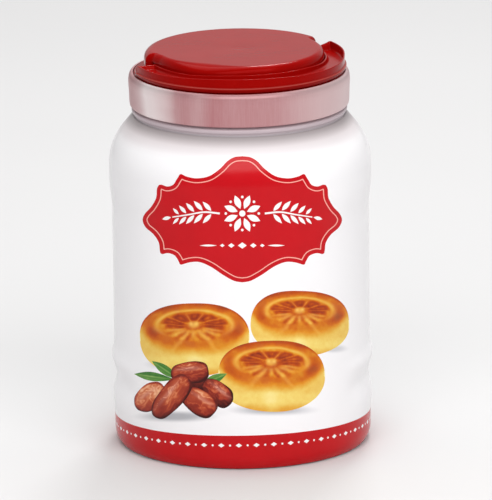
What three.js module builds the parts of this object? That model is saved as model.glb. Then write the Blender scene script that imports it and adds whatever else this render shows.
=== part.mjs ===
// A large, shut biscuit jar: a white moulded jar in a printed film sleeve, a satin neck band,
// and a red cap with a carry handle folded down around its raised centre.
// Millimetres, +Z up, the jar stands on z = 0. The front of the print faces -Y, and azimuths
// are measured from the front towards +X.
import * as THREE from "three";

// ---- sizes ----------------------------------------------------------------------------------
// jar body, measured on the outside of the sleeve
const BODY_R = 75.1; // straight wall of the body
const SHOULDER_SIDE = 1.5; // how far the shoulder stands out at the sides
const SHOULDER_FRONT = 0.6; // and at the front and back
const SHOULDER_Z0 = 140; // where the shoulder begins to stand out
const SHOULDER_Z1 = 160; // where it is fully out
const ARC_Z = 167.5; // start of the shoulder's arc
const ARC_R = 34; // radius of that arc
const ARC_END = 39; // degrees turned when the arc runs into the cone
const ARC_EASE = 0.4; // how much further out the arc lies by its end
const CONE_TOP_Z = 196.0; // top of the cone under the neck
const CONE_SLOPE = 0.78; // radius lost for each mm of height on the cone
const HEEL_H = 9; // height of the rounded heel
const HEEL_R = 69.5; // where the heel's rounding starts
const HEEL_W = BODY_R - 0.7 - HEEL_R; // how far the heel's rounding reaches out
const STAND_IN = 64.5; // inner edge of the standing ring
const PUSH_UP_H = 7; // height of the dished underside
const PUSH_UP_R = 52; // where the dish meets its flat

// finger grips on both sides: a valley between two swellings
const GRIP_VALLEY = { z: 39.8, depth: -1.2, spread: 5.4 };
const GRIP_UPPER = { z: 52.4, depth: 1.35, spread: 4.6 };
const GRIP_LOWER = { z: 27.5, depth: 0.85, spread: 8.5 };
const GRIP_FROM = 0.78; // sine of the azimuth where a grip starts to show
const GRIP_FULL = 0.93; // and where it is at its full depth

// printed film sleeve
const FILM_GAP = 0.3; // between the film and the jar
const FILM = 0.4; // thickness of the film
const SKIN = FILM_GAP + FILM;
const FILM_LOW = 30; // degrees round the heel where the film ends

// neck of the jar
const BEAD_Z = 199.4; // bead under the neck band
const BEAD_R = 62.9;
const NECK_GROOVE_R = 61.6;
const NECK_R = 60.2;
const NECK_TOP = 219.5;

// neck band
const BAND_LOW = 202.2;
const BAND_TOP = 221.7;
const BAND_R = 64.7;
const BAND_BORE = 60.6;
const BAND_SEAT_Z = 219.6; // step that the cap drops into
const BAND_SEAT_R = 61.9;

// cap
const CAP_LOW = 219.9;
const FLANGE_TOP = 221.7;
const FLANGE_R = 61.5;
const CAP_TOP = 234.6;
const FULL_WALL = 55.3; // raised centre, on the side away from the handle
const FULL_ROUND = 5.0; // rounding of its upper edge
const SEAT_WALL = 49.9; // raised centre, behind the handle
const SEAT_ROUND = 3.6; // how far the rounding of its upper edge reaches in
const SEAT_WIDER = { z: -24, depth: 4.8, spread: 20 }; // and how much further around this azimuth
const SEAT_DROP = 4.8; // how far that rounding reaches down
const STEP_FRONT = [-80, -76]; // azimuths where the full wall steps in to the seat
const STEP_BACK = [121, 125];

// carry handle, folded down: an open channel with a floor, closed at both ends
const HANDLE_LOW = 222.1;
const HANDLE_IN = 50.3;
const HANDLE_OUT = 62.7;
const HANDLE_FLOOR = 226.6;
const HANDLE_RIM = 228.95; // the outer rim at the front end
const HANDLE_BACK = 119.7; // azimuths of its ends
const HANDLE_FRONT = -73;
const END_WALL = 1.3; // degrees taken up by the wall across each end
const END_DROP = 0.35; // how far that wall's top lies below the rims
// past its front end, the outer side runs out as a low tongue: azimuth, inner and outer radius, top
const TONGUE = [
  [-75.5, 56.3, 62.5, 227.2],
  [-78.5, 56.6, 62.1, 225.4],
  [-82, 57.2, 61.4, 223.6],
];

const BODY_SEGMENTS = 40;
const BAND_SEGMENTS = 48;
const CAP_SEGMENTS = 90;

// ---- helpers --------------------------------------------------------------------------------
const rad = THREE.MathUtils.degToRad;
const smooth = (a, b, x) => THREE.MathUtils.smoothstep(x, a, b);
const mix = THREE.MathUtils.lerp;
const bell = (x, { z, depth, spread }) => depth * Math.exp(-(((x - z) / spread) ** 2));

// An azimuth as -180 to 180 degrees.
const signed = (azimuth) => ((((azimuth + 180) % 360) + 360) % 360) - 180;

// A turned solid whose profile [r, z] may change with the azimuth in degrees.
// Every profile has the same number of points, listed upwards on the outside. From point
// inwardFrom on, where the profile runs down the inside, the faces are split along their other
// diagonal, so that they lie parallel to the faces of the wall inside them.
function turned(profileAt, segments, inwardFrom = Infinity) {
  const first = profileAt(0);
  const geometry = new THREE.LatheGeometry(
    first.map(([r, z]) => new THREE.Vector2(r, z)),
    segments,
  );
  const p = geometry.getAttribute("position");
  for (let i = 0; i <= segments; i++) {
    const azimuth = ((i % segments) * 360) / segments;
    const profile = profileAt(azimuth);
    profile.forEach(([r, z], j) => {
      const a = rad(azimuth);
      p.setXYZ(i * first.length + j, r * Math.sin(a), -r * Math.cos(a), z);
    });
  }
  const index = geometry.getIndex();
  for (let q = 0; q < index.count; q += 6) {
    const a = index.getX(q);
    const b = index.getX(q + 1);
    if (a % first.length < inwardFrom) continue;
    [a, b, b + 1, a, b + 1, a + 1].forEach((v, k) => index.setX(q + k, v));
  }
  geometry.computeVertexNormals();
  return geometry;
}

// The same profile moved outwards along its normals by d. It runs upwards.
function offset(profile, d) {
  return profile.map(([r, z], j) => {
    const a = profile[Math.max(0, j - 1)];
    const b = profile[Math.min(profile.length - 1, j + 1)];
    const length = Math.hypot(b[0] - a[0], b[1] - a[1]);
    return [r + (d * (b[1] - a[1])) / length, z - (d * (b[0] - a[0])) / length];
  });
}

function mesh(name, geometry, colour, roughness, metalness) {
  const made = new THREE.Mesh(
    geometry,
    new THREE.MeshStandardMaterial({ color: colour, roughness, metalness }),
  );
  made.name = name;
  return made;
}

// ---- jar body and its sleeve ----------------------------------------------------------------
// How far the wall stands out from the plain turned shape.
function swell(z, azimuth) {
  const side = Math.abs(Math.sin(rad(azimuth)));
  const grip = smooth(GRIP_FROM, GRIP_FULL, side);
  return (
    grip * (bell(z, GRIP_VALLEY) + bell(z, GRIP_UPPER) + bell(z, GRIP_LOWER)) +
    mix(SHOULDER_FRONT, SHOULDER_SIDE, smooth(0.5, 0.95, side)) *
      smooth(SHOULDER_Z0, SHOULDER_Z1, z) *
      (1 - smooth(ARC_Z, CONE_TOP_Z, z))
  );
}

// The jar's own wall from the heel to the foot of the neck, as turned.
function wall() {
  const points = [];
  for (const turn of [FILM_LOW, 50, 70, 90])
    points.push([HEEL_R + HEEL_W * Math.sin(rad(turn)), HEEL_H - HEEL_H * Math.cos(rad(turn))]);
  const r = BODY_R - SKIN;
  for (const z of [15, 21, 27.5, 34, 39.8, 45, 49, 52.4, 56, 61, SHOULDER_Z0, 147, 153, SHOULDER_Z1, ARC_Z])
    points.push([r, z]);
  for (let k = 1; k <= 4; k++) {
    const turn = rad((ARC_END * k) / 4);
    points.push([r + (ARC_EASE * k) / 4 - ARC_R * (1 - Math.cos(turn)), ARC_Z + ARC_R * Math.sin(turn)]);
  }
  const [lastR, lastZ] = points[points.length - 1];
  points.push([lastR - (CONE_TOP_Z - lastZ) * CONE_SLOPE, CONE_TOP_Z]);
  return points;
}

function jarBody() {
  const side = wall();
  const below = [
    [0, PUSH_UP_H],
    [20, PUSH_UP_H],
    [PUSH_UP_R, PUSH_UP_H - 2],
    [STAND_IN - 3, 1.2],
    [STAND_IN, 0],
    [HEEL_R, 0],
  ];
  const above = [
    [NECK_GROOVE_R + 0.6, BEAD_Z - 1.3],
    [BEAD_R, BEAD_Z - 0.5],
    [BEAD_R, BEAD_Z + 0.5],
    [NECK_GROOVE_R, BEAD_Z + 1.4],
    [NECK_GROOVE_R, BAND_LOW - 0.3],
    [NECK_R, BAND_LOW],
    [NECK_R, NECK_TOP],
    [0, NECK_TOP],
  ];
  return turned(
    (azimuth) => [
      ...below,
      ...side.map(([r, z]) => [r + swell(z, azimuth), z]),
      ...above,
    ],
    BODY_SEGMENTS,
  );
}

function labelSleeve() {
  const side = wall();
  const inner = offset(side, FILM_GAP);
  const outer = offset(side, SKIN);
  return turned((azimuth) => {
    const out = ([r, z]) => [r + swell(z, azimuth), z];
    const ring = [...outer.map(out), ...inner.map(out).reverse()];
    return [...ring, ring[0]];
  }, BODY_SEGMENTS, side.length);
}

// ---- neck band ------------------------------------------------------------------------------
function neckBand() {
  const ring = [
    [BAND_BORE, BAND_LOW],
    [BAND_R - 1.3, BAND_LOW],
    [BAND_R - 0.8, BAND_LOW + 0.5],
    [BAND_R - 0.6, BAND_LOW + 2.0],
    [BAND_R - 0.4, BAND_LOW + 8.0],
    [BAND_R, BAND_TOP - 5.0],
    [BAND_R - 0.4, BAND_TOP - 2.2],
    [BAND_R - 1.1, BAND_TOP - 0.8],
    [BAND_R - 2.1, BAND_TOP],
    [BAND_SEAT_R, BAND_TOP - 0.3],
    [BAND_SEAT_R, BAND_SEAT_Z],
    [BAND_BORE, BAND_SEAT_Z],
    [BAND_BORE, BAND_LOW],
  ];
  return turned(() => ring, BAND_SEGMENTS);
}

// ---- cap ------------------------------------------------------------------------------------
function cap() {
  return turned((turn) => {
    const azimuth = signed(turn);
    const full = azimuth < 30 ? 1 - smooth(...STEP_FRONT, azimuth) : smooth(...STEP_BACK, azimuth);
    const wallR = mix(SEAT_WALL, FULL_WALL, full);
    const reach = mix(SEAT_ROUND + bell(azimuth, SEAT_WIDER), FULL_ROUND, full);
    const drop = mix(SEAT_DROP, FULL_ROUND, full);
    const profile = [
      [0, CAP_LOW],
      [FLANGE_R, CAP_LOW],
      [FLANGE_R, FLANGE_TOP - 0.7],
      [FLANGE_R - 0.7, FLANGE_TOP],
      [wallR, FLANGE_TOP],
    ];
    for (const bend of [0, 30, 60, 90])
      profile.push([
        wallR - reach * (1 - Math.cos(rad(bend))),
        CAP_TOP - drop * (1 - Math.sin(rad(bend))),
      ]);
    profile.push([0, CAP_TOP]);
    return profile;
  }, CAP_SEGMENTS);
}

// ---- carry handle ---------------------------------------------------------------------------
const outerRim = (azimuth) =>
  HANDLE_RIM + 1.35 * smooth(-55, -5, azimuth) - 0.85 * smooth(5, 55, azimuth) + 1.9 * smooth(72, 100, azimuth);
const innerRim = (azimuth) => HANDLE_RIM + 0.1 + 1.2 * smooth(-38, -2, azimuth) - 1.05 * smooth(45, 75, azimuth);

// Its section, a tray between two walls, bent round the cap.
function capHandle() {
  const lip = 225.0; // top of the thicker lower part of its outer wall
  const rim = 229.5;
  const section = new THREE.Shape(
    [
      [HANDLE_IN, HANDLE_LOW],
      [HANDLE_OUT - 1.0, HANDLE_LOW],
      [HANDLE_OUT, HANDLE_LOW + 1.7],
      [HANDLE_OUT, lip - 0.4],
      [HANDLE_OUT - 0.6, lip],
      [HANDLE_OUT - 0.7, rim],
      [HANDLE_OUT - 1.8, rim],
      [HANDLE_OUT - 2.2, HANDLE_FLOOR],
      [HANDLE_IN + 1.6, HANDLE_FLOOR],
      [HANDLE_IN + 1.2, rim],
      [HANDLE_IN, rim],
    ].map(([r, z]) => new THREE.Vector2(r, z)),
  );
  // Azimuths of the sections, from the back end to the front end.
  const stations = [HANDLE_BACK, HANDLE_BACK - END_WALL, HANDLE_BACK - END_WALL - 1.2];
  for (let a = 112; a > -69; a -= 7.5) stations.push(a);
  stations.push(HANDLE_FRONT + END_WALL + 1.2, HANDLE_FRONT + END_WALL, HANDLE_FRONT);
  const end = stations.length - 1;
  for (const [azimuth] of TONGUE) stations.push(azimuth);
  const last = stations.length - 1;
  const bar = new THREE.ExtrudeGeometry(section, { depth: 1, steps: last, bevelEnabled: false });
  const p = bar.getAttribute("position");
  for (let i = 0; i < p.count; i++) {
    let r = p.getX(i);
    let z = p.getY(i);
    const k = Math.round(p.getZ(i) * last);
    const azimuth = stations[k];
    const top = r > (HANDLE_IN + HANDLE_OUT) / 2 ? outerRim(azimuth) : innerRim(azimuth);
    if (z > rim - 0.1) z = top;
    else if (z > HANDLE_FLOOR - 0.1 && (k < 2 || k > end - 2)) z = top - END_DROP;
    if (k > end) {
      const [, inside, outside, height] = TONGUE[k - end - 1];
      r = THREE.MathUtils.mapLinear(r, HANDLE_IN, HANDLE_OUT, inside, outside);
      z = THREE.MathUtils.mapLinear(z, HANDLE_LOW, top, HANDLE_LOW, height);
    }
    const a = rad(azimuth);
    p.setXYZ(i, r * Math.sin(a), -r * Math.cos(a), z);
  }
  bar.computeVertexNormals();
  return bar;
}

// ---- the whole ------------------------------------------------------------------------------
const jar = new THREE.Group();
const container = new THREE.Group();
container.add(
  mesh("jar_body", jarBody(), 0xf4f2f1, 0.3, 0),
  mesh("label_sleeve", labelSleeve(), 0xfbf9f8, 0.25, 0),
);
const closure = new THREE.Group();
closure.add(
  mesh("neck_band", neckBand(), 0xc9a9ac, 0.35, 0.7),
  mesh("cap", cap(), 0xa5110d, 0.2, 0),
  mesh("cap_handle", capHandle(), 0xa5110d, 0.2, 0),
);
jar.add(container, closure);

export default jar;
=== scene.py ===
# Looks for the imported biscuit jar: a moulded white jar in a printed film sleeve, a satin neck
# band, and a red cap with its carry handle folded down. Shapes are worked out in millimetres and
# stored in metres. Azimuths are degrees from the front (-Y) towards +X.
import math

import bpy
import numpy as np
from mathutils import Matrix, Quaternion, Vector
from mathutils import noise as mnoise
from mathutils.geometry import delaunay_2d_cdt


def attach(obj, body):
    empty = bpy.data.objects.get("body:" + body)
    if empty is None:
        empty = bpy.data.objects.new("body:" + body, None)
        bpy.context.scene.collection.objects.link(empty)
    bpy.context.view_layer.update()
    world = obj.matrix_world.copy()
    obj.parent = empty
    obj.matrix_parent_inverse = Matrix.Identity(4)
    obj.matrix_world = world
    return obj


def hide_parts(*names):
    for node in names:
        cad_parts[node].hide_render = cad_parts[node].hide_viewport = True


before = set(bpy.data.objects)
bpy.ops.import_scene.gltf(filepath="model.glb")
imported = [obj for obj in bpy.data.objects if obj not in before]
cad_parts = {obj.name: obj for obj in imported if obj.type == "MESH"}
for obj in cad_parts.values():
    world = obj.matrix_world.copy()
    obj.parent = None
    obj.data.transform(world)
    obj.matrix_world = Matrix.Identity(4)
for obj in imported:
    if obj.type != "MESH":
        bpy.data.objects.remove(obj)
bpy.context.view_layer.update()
scene = bpy.context.scene
MM = 0.001

# ---- sizes, as in the CAD ---------------------------------------------------------------------
BODY_R = 75.1
SKIN, FILM = 0.7, 0.4
HEEL_R, HEEL_H = 69.5, 9.0
ARC_Z, ARC_R, ARC_END, ARC_EASE = 167.5, 34.0, 39.0, 0.4
CONE_TOP, CONE_SLOPE = 196.0, 0.78
NECK_R, NECK_TOP = 60.2, 219.5
BEAD_Z, BEAD_R = 199.4, 62.9
BAND_LOW, BAND_TOP, BAND_R = 202.2, 221.7, 64.7
CAP_LOW, FLANGE_TOP, FLANGE_R, CAP_TOP = 219.9, 221.7, 61.5, 234.6
FULL_WALL, FULL_ROUND, SEAT_WALL, SEAT_ROUND, SEAT_DROP = 55.3, 5.0, 49.9, 3.6, 4.8
HANDLE_IN, HANDLE_OUT, HANDLE_LOW, HANDLE_FLOOR, HANDLE_RIM = 50.3, 62.7, 222.1, 226.6, 228.95
HANDLE_FRONT, HANDLE_BACK = -73.0, 119.7
# past its front end the outer side runs out as a low tongue: azimuth, inner and outer radius, top
TONGUE = np.array([(-73.0, 50.3, 62.7, 228.6), (-75.5, 56.3, 62.5, 227.3), (-78.5, 56.6, 62.1, 225.5), (-82.0, 57.2, 61.4, 223.7)])


def smooth(a, b, x):
    t = np.clip((np.asarray(x, float) - a) / (b - a), 0, 1)
    return t * t * (3 - 2 * t)


def mix(a, b, t):
    return a + (b - a) * t


# ---- camera: the standing eye's view of the jar, from far off ---------------------------------
AIM = np.array([0.0, 0.0, 118.0])
ELEVATION, DISTANCE, ROLL = math.radians(14.56), 5000.0, -0.0115
SCALE = 1.7078  # picture units for each mm at the aim point, in a frame of 492 x 500
AIM_AT = (240.98, 241.95)  # where the aim point lies in that frame

back = Vector((0, -math.cos(ELEVATION), math.sin(ELEVATION)))
turn = (-back).to_track_quat("-Z", "Y") @ Quaternion((0, 0, 1), ROLL)
right, up = turn @ Vector((1, 0, 0)), turn @ Vector((0, 1, 0))
eye = (
    Vector(AIM * MM)
    + back * DISTANCE * MM
    + right * (246 - AIM_AT[0]) / SCALE * MM
    + up * (AIM_AT[1] - 250) / SCALE * MM
)
cam_data = bpy.data.cameras.new("camera")
cam_data.lens = SCALE * DISTANCE / 500 * 36
cam_data.sensor_width = 36
cam_data.clip_start, cam_data.clip_end = 0.5, 60
camera = bpy.data.objects.new("camera", cam_data)
camera.rotation_mode = "QUATERNION"
camera.location, camera.rotation_quaternion = eye, turn
scene.collection.objects.link(camera)
scene.camera = camera

EYE, RIGHT, UP, AHEAD = (np.array(v) for v in (eye / MM, right, up, -back))


def to_view(p):
    """Points in mm to places in the 492 x 500 frame."""
    d = np.asarray(p, float) - EYE
    depth = d @ AHEAD
    f = SCALE * DISTANCE
    return np.stack([246 + f * (d @ RIGHT) / depth, 250 - f * (d @ UP) / depth], -1)


# ---- the jar's wall ---------------------------------------------------------------------------
def wall_line():
    """The jar's own wall from the heel to the neck as a fine line (r, z)."""
    t = np.radians(np.linspace(0, 90, 61))
    width = BODY_R - SKIN - HEEL_R
    heel = np.c_[HEEL_R + width * np.sin(t), HEEL_H - HEEL_H * np.cos(t)]
    r = BODY_R - SKIN
    z = np.arange(HEEL_H + 0.5, ARC_Z, 0.5)
    straight = np.c_[np.full(len(z), r), z]
    k = np.linspace(0, 1, 61)
    a = np.radians(ARC_END * k)
    arc = np.c_[r + ARC_EASE * k**1.4 - ARC_R * (1 - np.cos(a)), ARC_Z + ARC_R * np.sin(a)]
    last = arc[-1]
    z = np.linspace(last[1], CONE_TOP, 24)[1:]
    cone = np.c_[last[0] - (z - last[1]) * CONE_SLOPE, z]
    return np.r_[heel, straight, arc, cone]


def moved_out(line, d):
    g = np.gradient(line, axis=0)
    g /= np.linalg.norm(g, axis=1, keepdims=True)
    return np.c_[line[:, 0] + d * g[:, 1], line[:, 1] - d * g[:, 0]]


WALL = wall_line()
OUTER = moved_out(WALL, SKIN)
INNER = moved_out(WALL, SKIN - FILM)
SLEEVE_LOW = float(OUTER[20, 1])  # 30 degrees round the heel
SLEEVE_TOP = float(OUTER[-1, 1])


def bell(z, at, depth, spread):
    return depth * np.exp(-(((z - at) / spread) ** 2))


def swell(z, az):
    """How far the wall stands out from the turned shape: the grips and the shoulder."""
    side = np.abs(np.sin(np.radians(az)))
    grip = smooth(0.78, 0.93, side)
    grips = bell(z, 39.8, -1.2, 5.4) + bell(z, 52.4, 1.35, 4.6) + bell(z, 27.5, 0.85, 8.5)
    shoulder = mix(0.6, 1.5, smooth(0.5, 0.95, side)) * smooth(140, 160, z) * (1 - smooth(ARC_Z, CONE_TOP, z))
    return grip * grips + shoulder


LAP_AT, LAP_IN = 171.0, 0.22  # the film's ends lap at the back


def sleeve_r(z, az, line=OUTER):
    az = (np.asarray(az, float) + 180) % 360 - 180
    lap = np.where(az > LAP_AT, 0.0, LAP_IN * smooth(LAP_AT - 26, LAP_AT, az))
    return np.interp(z, line[:, 1], line[:, 0]) + swell(z, az) - lap


def at(r, az, z):
    a = np.radians(az)
    return np.stack([r * np.sin(a), -r * np.cos(a), z + 0 * a], -1)


def on_sleeve(px):
    """Places in the 492 x 500 frame to (azimuth, z) on the sleeve."""
    px = np.asarray(px, float)
    f = SCALE * DISTANCE
    ray = AHEAD + ((px[:, :1] - 246) * RIGHT + (250 - px[:, 1:]) * UP) / f
    r = np.full(len(px), BODY_R)
    for _ in range(30):
        a = ray[:, 0] ** 2 + ray[:, 1] ** 2
        b = EYE[0] * ray[:, 0] + EYE[1] * ray[:, 1]
        c = EYE[0] ** 2 + EYE[1] ** 2 - r**2
        t = (-b - np.sqrt(np.maximum(b * b - a * c, 0))) / a
        p = EYE + ray * t[:, None]
        az = np.degrees(np.arctan2(p[:, 0], -p[:, 1]))
        r = 0.5 * r + 0.5 * sleeve_r(p[:, 2], az)
    return np.stack([az, p[:, 2]], -1)


# ---- mesh helpers -----------------------------------------------------------------------------
def make(name, verts, faces, node, materials, smooth_faces=True):
    """A mesh object in mm turned to metres, riding on the root body in place of a CAD node."""
    mesh = bpy.data.meshes.new(name)
    mesh.from_pydata((np.asarray(verts, float) * MM).tolist(), [], [list(map(int, f)) for f in faces])
    mesh.validate()
    mesh.polygons.foreach_set("use_smooth", [smooth_faces] * len(mesh.polygons))
    for m in materials:
        mesh.materials.append(m)
    mesh.update()
    obj = bpy.data.objects.new(name, mesh)
    scene.collection.objects.link(obj)
    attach(obj, "root")
    if node:
        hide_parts(node)
    return obj


def corners(points, sizes, n=6, support=0.25):
    """Rounds the corners of closed outlines. points is (steps, corners, 2). Each corner becomes
    n + 1 points on a curve that starts its size away from it, with one more on each side."""
    points = np.asarray(points, float)
    before = np.roll(points, 1, 1) - points
    after = np.roll(points, -1, 1) - points
    lb = np.linalg.norm(before, axis=2, keepdims=True)
    la = np.linalg.norm(after, axis=2, keepdims=True)
    size = np.minimum(np.asarray(sizes, float)[None, :, None], 0.42 * np.minimum(lb, la))
    hold = np.minimum(size + support, 0.47 * np.minimum(lb, la))
    db, da = before / lb, after / la
    out = [points + db * hold]
    for t in np.linspace(0, 1, n + 1):
        out.append(points + db * size * (1 - t) ** 2 + da * size * t**2)
    out.append(points + da * hold)
    return np.stack(out, 2).reshape(len(points), -1, 2)


def ring_faces(n_az, n_pt, wrap_az=True, wrap_pt=True):
    i, j = np.meshgrid(np.arange(n_az if wrap_az else n_az - 1), np.arange(n_pt if wrap_pt else n_pt - 1), indexing="ij")
    i2, j2 = (i + 1) % n_az, (j + 1) % n_pt
    quads = np.stack([i * n_pt + j, i2 * n_pt + j, i2 * n_pt + j2, i * n_pt + j2], -1)
    return quads.reshape(-1, 4).tolist()


def turned(name, profiles, azimuths, node, material, low=None, high=None):
    """A turned solid. profiles is (azimuths, points, 2), listed upwards on the outside. With low
    and high, it closes on the axis at those heights, and without them on itself."""
    az = np.asarray(azimuths, float)[:, None]
    verts = at(profiles[:, :, 0], az, profiles[:, :, 1]).reshape(-1, 3)
    n_az, n_pt = profiles.shape[:2]
    faces = ring_faces(n_az, n_pt, True, low is None)
    if low is not None:
        base = len(verts)
        verts = np.r_[verts, [[0, 0, low], [0, 0, high]]]
        for i in range(n_az):
            k = (i + 1) % n_az
            faces.append([base, k * n_pt, i * n_pt])
            faces.append([base + 1, i * n_pt + n_pt - 1, k * n_pt + n_pt - 1])
    return make(name, verts, faces, node, [material])


# ---- materials --------------------------------------------------------------------------------
def linear(c):
    """An sRGB colour from 0 to 255 as linear numbers."""
    c = np.asarray(c, float) / 255
    return tuple(np.where(c <= 0.04045, c / 12.92, ((c + 0.055) / 1.055) ** 2.4)) + (1.0,)


class Nodes:
    def __init__(self, name):
        self.material = bpy.data.materials.new(name)
        self.material.use_nodes = True
        self.tree = self.material.node_tree
        self.tree.nodes.clear()
        self.out = self.tree.nodes.new("ShaderNodeOutputMaterial")
        self.shader = self.tree.nodes.new("ShaderNodeBsdfPrincipled")
        self.link(self.shader.outputs[0], self.out.inputs[0])

    def link(self, a, b):
        self.tree.links.new(a, b)

    def node(self, kind, **settings):
        n = self.tree.nodes.new("ShaderNode" + kind)
        for k, v in settings.items():
            setattr(n, k, v)
        return n

    def feed(self, socket, value):
        if isinstance(value, bpy.types.NodeSocket):
            self.link(value, socket)
        elif value is not None:
            socket.default_value = value

    def set(self, **values):
        for k, v in values.items():
            self.feed(self.shader.inputs[k.replace("_", " ")], v)

    def math(self, op, a, b=None, c=None, clamp=False):
        n = self.node("Math", operation=op, use_clamp=clamp)
        for s, v in zip(n.inputs, (a, b, c)):
            self.feed(s, v)
        return n.outputs[0]

    def range(self, x, a, b, lo=0.0, hi=1.0, kind="SMOOTHSTEP"):
        n = self.node("MapRange", interpolation_type=kind, clamp=True)
        for s, v in zip(n.inputs, (x, a, b, lo, hi)):
            self.feed(s, v)
        return n.outputs[0]

    def blend(self, t, a, b, mode="MIX"):
        n = self.node("Mix", data_type="RGBA", blend_type=mode)
        n.clamp_factor = True
        self.feed(n.inputs[0], t)
        self.feed(n.inputs[6], a)
        self.feed(n.inputs[7], b)
        return n.outputs[2]

    def coords(self, scale=(1, 1, 1)):
        c = self.node("TexCoord").outputs["Object"]
        m = self.node("Mapping")
        m.inputs["Scale"].default_value = scale
        self.link(c, m.inputs["Vector"])
        return m.outputs[0]

    def noise(self, vector, scale, detail=2.0, rough=0.5, distort=0.0):
        n = self.node("TexNoise")
        self.link(vector, n.inputs["Vector"])
        n.inputs["Scale"].default_value = scale
        n.inputs["Detail"].default_value = detail
        n.inputs["Roughness"].default_value = rough
        n.inputs["Distortion"].default_value = distort
        return n.outputs["Fac"]

    def ramp(self, x, stops):
        n = self.node("ValToRGB")
        e = n.color_ramp.elements
        while len(e) > 1:
            e.remove(e[-1])
        e[0].position, e[0].color = stops[0][0], stops[0][1]
        for p, c in stops[1:]:
            s = e.new(p)
            s.color = c
        self.feed(n.inputs[0], x)
        return n.outputs[0]

    def attribute(self, name):
        return self.node("Attribute", attribute_type="GEOMETRY", attribute_name=name).outputs["Fac"]

    def uv(self, name):
        return self.node("UVMap", uv_map=name).outputs[0]

    def bump(self, height, strength, distance):
        n = self.node("Bump")
        n.inputs["Strength"].default_value = strength
        n.inputs["Distance"].default_value = distance
        self.link(height, n.inputs["Height"])
        return n.outputs[0]


def red_plastic(name):
    m = Nodes(name)
    p = m.coords()
    cloud = m.noise(p, 34, 3)
    fine = m.noise(p, 900, 2)
    place = m.node("SeparateXYZ")
    m.link(p, place.inputs[0])
    rise = m.range(place.outputs[2], 0.2225, 0.2255, 0, 1, "LINEAR")
    colour = m.blend(m.range(cloud, 0.3, 0.7), (0.270, 0.0016, 0.0010, 1), (0.298, 0.0022, 0.0014, 1))
    # painted shade: the red is darkened below the lip, in the undercut
    colour = m.blend(1.0, colour, m.ramp(rise, [((z - 222.5) / 3, (v, v, v, 1)) for z, v in CAP_SHADE]), "MULTIPLY")
    # painted highlight: a pale line along the lip's lower edge
    painted_lip_highlight = m.ramp(rise, [((z - 222.5) / 3, (v, v, v, 1)) for z, v in CAP_EDGE_HIGHLIGHT])
    m.set(
        Base_Color=m.blend(painted_lip_highlight, colour, (0.46, 0.12, 0.10, 1)),
        Roughness=m.range(m.noise(p, 160, 4), 0.3, 0.75, 0.13, 0.19, "LINEAR"),
        IOR=1.26,
        Specular_Tint=(1.0, 0.1, 0.1, 1),
        Normal=m.bump(m.math("ADD", fine, m.math("MULTIPLY", cloud, 6.0)), 0.10, 0.00006),
    )
    return m.material


# height on the cap's lip: how much of its colour is left below the lip as painted shade in the undercut, and how pale
# its lower edge is as a painted highlight line
CAP_SHADE = [(222.5, 0.80), (224.3, 0.80), (224.7, 1.0)]
CAP_EDGE_HIGHLIGHT = [(222.5, 0.0), (224.35, 0.0), (224.65, 0.42), (224.9, 0.42), (225.2, 0.0)]

# how silvery the band looks at each azimuth, from 0 pink to 1 silver: the satin band's own pink and silver, laid out in
# streaks that are painted reflections of its surroundings
BAND_PAINTED_REFLECTION = [
    (-180, 0.3), (-158, 0.7), (-140, 0.1), (-118, 0.5), (-104, 0.1), (-90, 0.12), (-76, 0.18), (-71, 0.28),
    (-64, 0.50), (-57, 1.0), (-50, 0.92), (-43, 0.68), (-39, 0.50), (-35, 0.20), (-30, 0.12), (-22, 0.24), (-14, 0.04),
    (-4, 0.12), (6, 0.10), (20, 0.14),
    (33, 0.32), (46, 0.45), (72, 0.60), (90, 0.45), (106, 0.1), (124, 0.6), (142, 0.85), (160, 0.2), (180, 0.3),
]  # fmt: skip


def band_metal(name):
    m = Nodes(name)
    place = m.node("SeparateXYZ")
    m.link(m.coords(), place.inputs[0])
    around = m.math("ARCTAN2", place.outputs[0], m.math("MULTIPLY", place.outputs[1], -1.0))
    drift = m.math("SUBTRACT", m.noise(m.coords((1, 1, 3)), 30, 2), 0.5)
    around = m.math("ADD", around, m.math("MULTIPLY", drift, 0.10))
    share = m.math("MULTIPLY_ADD", around, 1 / (2 * math.pi), 0.5)
    # painted reflection: pink and silver streaks by azimuth stand in for the surroundings mirrored in the band
    painted_reflection = m.ramp(share, [((a + 180) / 360, (v, v, v, 1)) for a, v in BAND_PAINTED_REFLECTION])
    brushed = m.noise(m.coords((1, 1, 0.012)), 1500, 3, 0.6)
    colour = m.blend(painted_reflection, BAND_PINK, BAND_PALE)
    # painted shade: the band's top bevel is darkened by height
    rise = m.range(place.outputs[2], 0.2165, 0.2215, 0, 1, "LINEAR")
    colour = m.blend(1.0, colour, m.ramp(rise, [((z - 216.5) / 5, (v, v, v, 1)) for z, v in BAND_SHADE]), "MULTIPLY")
    m.set(
        Base_Color=m.blend(m.range(brushed, 0.35, 0.7, 0, 0.06), colour, (0.85, 0.74, 0.74, 1)),
        Metallic=0.3,
        Roughness=m.range(brushed, 0.3, 0.75, 0.34, 0.44, "LINEAR"),
        Normal=m.bump(brushed, 0.12, 0.00004),
    )
    return m.material


BAND_PINK = (0.41, 0.145, 0.158, 1)
BAND_PALE = (0.86, 0.75, 0.75, 1)
# height on the band and how much of its colour is left there: painted shade that darkens the top bevel, which faces up
# into the light
BAND_SHADE = [(216.5, 1.0), (218.2, 1.0), (219.3, 0.90), (220.2, 0.78), (221.0, 0.83), (221.5, 1.0)]


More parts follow.
